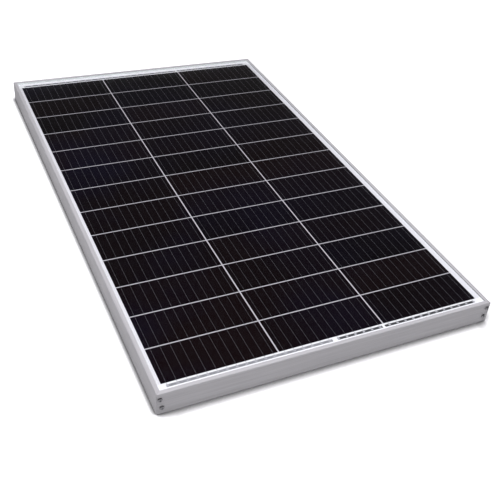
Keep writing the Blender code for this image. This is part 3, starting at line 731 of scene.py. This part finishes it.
def build_junction_box():
    """Materials and rounded edges for the box's CAD nodes, and the blank label beside it."""
    steel = metal("stainless_steel", (0.55, 0.55, 0.57), 0.28)
    black = plastic("black_plastic", (0.021, 0.021, 0.022), 0.4)
    rubber = plastic("sealant", (0.035, 0.035, 0.036), 0.75, grain=500.0)
    brass = metal("tinned_brass", (0.62, 0.52, 0.34), 0.35)
    epoxy = plastic("diode_epoxy", (0.02, 0.02, 0.021), 0.35, grain=700.0)
    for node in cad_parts:
        if node.startswith(("gland_seal", "seal_")) or node in ("box_adhesive_pad", "lid_gasket"):
            dress(node, rubber)
        elif node.startswith("gland_"):
            dress(node, black, 0.25 * MM)
        elif node.startswith("box_"):
            dress(node, black, 0.4 * MM)
        elif node.startswith("terminal_screw"):
            dress(node, steel, 0.15 * MM)
        elif node.startswith("terminal_"):
            dress(node, brass, 0.3 * MM)
        elif node.startswith("bypass_diode"):
            dress(node, epoxy, 0.3 * MM)
    dress("rear_label", label_material())


# ---------------------------------------------------------------- stage

CAMERA_PLACE = (-0.4565, -1.0348, 0.7380)
CAMERA_TURN = (52.90, -5.68, -25.82)
CAMERA_LENS = 55.75
CAMERA_SHIFT = -0.06
FLOOR_SIZE = 8.0
FLOOR_DROP = 0.05 * MM
FLOOR_BOUNCE = (0.56, 0.56, 0.56)
FLOOR_GLOW = 0.15
FLOOR_FADE = (0.9, 2.5)
# How far the contact shadow reaches, and the openness and brightness where it starts and ends
CONTACT_REACH = 26 * MM
CONTACT_REACH_LEFT = 11 * MM
CONTACT_REACH_RIGHT = 70 * MM
CONTACT_OPENNESS = (0.52, 0.95)
CONTACT_SHADE = (0.07, 1.0)
FILL = 0.05
# Lights: place, aim, diameter and power
KEY = ((-0.9, -2.1, 1.9), (0, -0.1, 0), 1.4, 8)
OVERHEAD = ((-0.2, -0.4, 2.3), (0, 0, 0), 2.4, 112)
OVERHEAD_COLOUR = (0.975, 0.96, 1.0)
UNDERSIDE = ((0, 0.15, -2.2), (0, 0, 0), 0.5, 5.5)
UNDERSIDE_SPREAD = 60


def build_camera():
    data = bpy.data.cameras.new("camera")
    data.sensor_width = 36
    data.lens = CAMERA_LENS
    data.shift_x = CAMERA_SHIFT
    camera = bpy.data.objects.new("camera", data)
    camera.location = CAMERA_PLACE
    camera.rotation_euler = [math.radians(angle) for angle in CAMERA_TURN]
    bpy.context.scene.collection.objects.link(camera)
    bpy.context.scene.camera = camera


def contact_reach(n):
    """Reach of the contact shadow: short on the panel's left and long on its right."""
    x, _ = n.across_and_along()
    from_left = n.remap(x, -HALF_WIDTH - 5 * MM, -HALF_WIDTH + 25 * MM, CONTACT_REACH_LEFT, CONTACT_REACH)
    to_right = n.remap(x, HALF_WIDTH - 20 * MM, HALF_WIDTH, 0, CONTACT_REACH_RIGHT - CONTACT_REACH)
    return n.math("ADD", from_left, to_right)


def floor_material():
    """Pale floor that is seen from above only, lets shadow rays through and has a painted contact shadow
    close to the panel.
    """
    n = Nodes("floor")
    light_path = n.add("LightPath").outputs
    seen = light_path["Is Camera Ray"]
    open_share = n.add("AmbientOcclusion", {"samples": 12}, Distance=contact_reach(n)).outputs["AO"]
    # Painted contact shadow: the floor's colour and glow darken where the panel is close
    shade = n.remap(open_share, *CONTACT_OPENNESS, *CONTACT_SHADE)
    pale = n.mix(n.noise(3.0), (0.90, 0.90, 0.90), (0.93, 0.93, 0.93))
    shaded = n.mix(shade, (0.0, 0.0, 0.0), pale)
    distance = n.add("VectorMath", {"operation": "LENGTH"}, Vector=n.object_place()).outputs["Value"]
    strength = n.remap(distance, *FLOOR_FADE, FLOOR_GLOW, 1.0)
    glow = n.math("MULTIPLY", n.math("MULTIPLY", seen, shade), strength)
    surface = n.add("BsdfPrincipled", Base_Color=n.mix(seen, FLOOR_BOUNCE, shaded), Roughness=0.9,
                    Emission_Color=(1, 1, 1), Emission_Strength=glow, Specular_IOR_Level=0.0)
    from_below = n.add("NewGeometry").outputs["Backfacing"]
    gone = n.math("MAXIMUM", from_below, light_path["Is Shadow Ray"])
    return n.finish(n.blend(gone, surface, n.add("BsdfTransparent")))


def build_floor():
    shape = bmesh.new()
    bmesh.ops.create_grid(shape, x_segments=1, y_segments=1, size=FLOOR_SIZE)
    floor = bpy.data.objects.new("floor", to_mesh("floor", shape))
    floor.data.materials.append(floor_material())
    floor.location.z = -FLOOR_DROP
    bpy.context.scene.collection.objects.link(floor)


def area_light(name, place, target, size, power, shines=True, spread=180):
    data = bpy.data.lights.new(name, "AREA")
    data.shape = "DISK"
    data.size = size
    data.energy = power
    data.spread = math.radians(spread)
    light = bpy.data.objects.new(name, data)
    light.location = place
    light.rotation_euler = (Vector(target) - Vector(place)).to_track_quat("-Z", "Y").to_euler()
    light.visible_glossy = shines
    bpy.context.scene.collection.objects.link(light)
    return light


def let_past_lips(light):
    """Glass and white film carry light in under the frame's lips, so the frame keeps none of it off."""
    lips = bpy.data.collections.new("frame_lips")
    for name in ("left", "right", "near", "far"):
        lips.objects.link(bpy.data.objects[f"{name}_member"])
    blockers = bpy.data.collections.new("blockers")
    blockers.children.link(lips)
    blockers.collection_children[0].light_linking.link_state = "EXCLUDE"
    light.light_linking.blocker_collection = blockers


def build_lights():
    area_light("key", *KEY)
    overhead = area_light("overhead", *OVERHEAD, shines=False)
    overhead.data.color = OVERHEAD_COLOUR
    let_past_lips(overhead)
    area_light("underside", *UNDERSIDE, shines=False, spread=UNDERSIDE_SPREAD)


def build_world():
    """White to the camera, and a faint fill light to everything else."""
    world = bpy.data.worlds.new("studio")
    world.use_nodes = True
    tree = world.node_tree
    background = tree.nodes["Background"]
    background.inputs["Color"].default_value = (1, 1, 1, 1)
    strength = tree.nodes.new("ShaderNodeMapRange")
    strength.inputs["To Min"].default_value = FILL
    tree.links.new(tree.nodes.new("ShaderNodeLightPath").outputs["Is Camera Ray"], strength.inputs["Value"])
    tree.links.new(strength.outputs["Result"], background.inputs["Strength"])
    bpy.context.scene.world = world
    bpy.context.scene.view_settings.view_transform = "Standard"


def main():
    build_camera()
    build_floor()
    build_frame()
    build_corner_screws()
    build_laminate()
    build_junction_box()
    build_lights()
    build_world()


main()
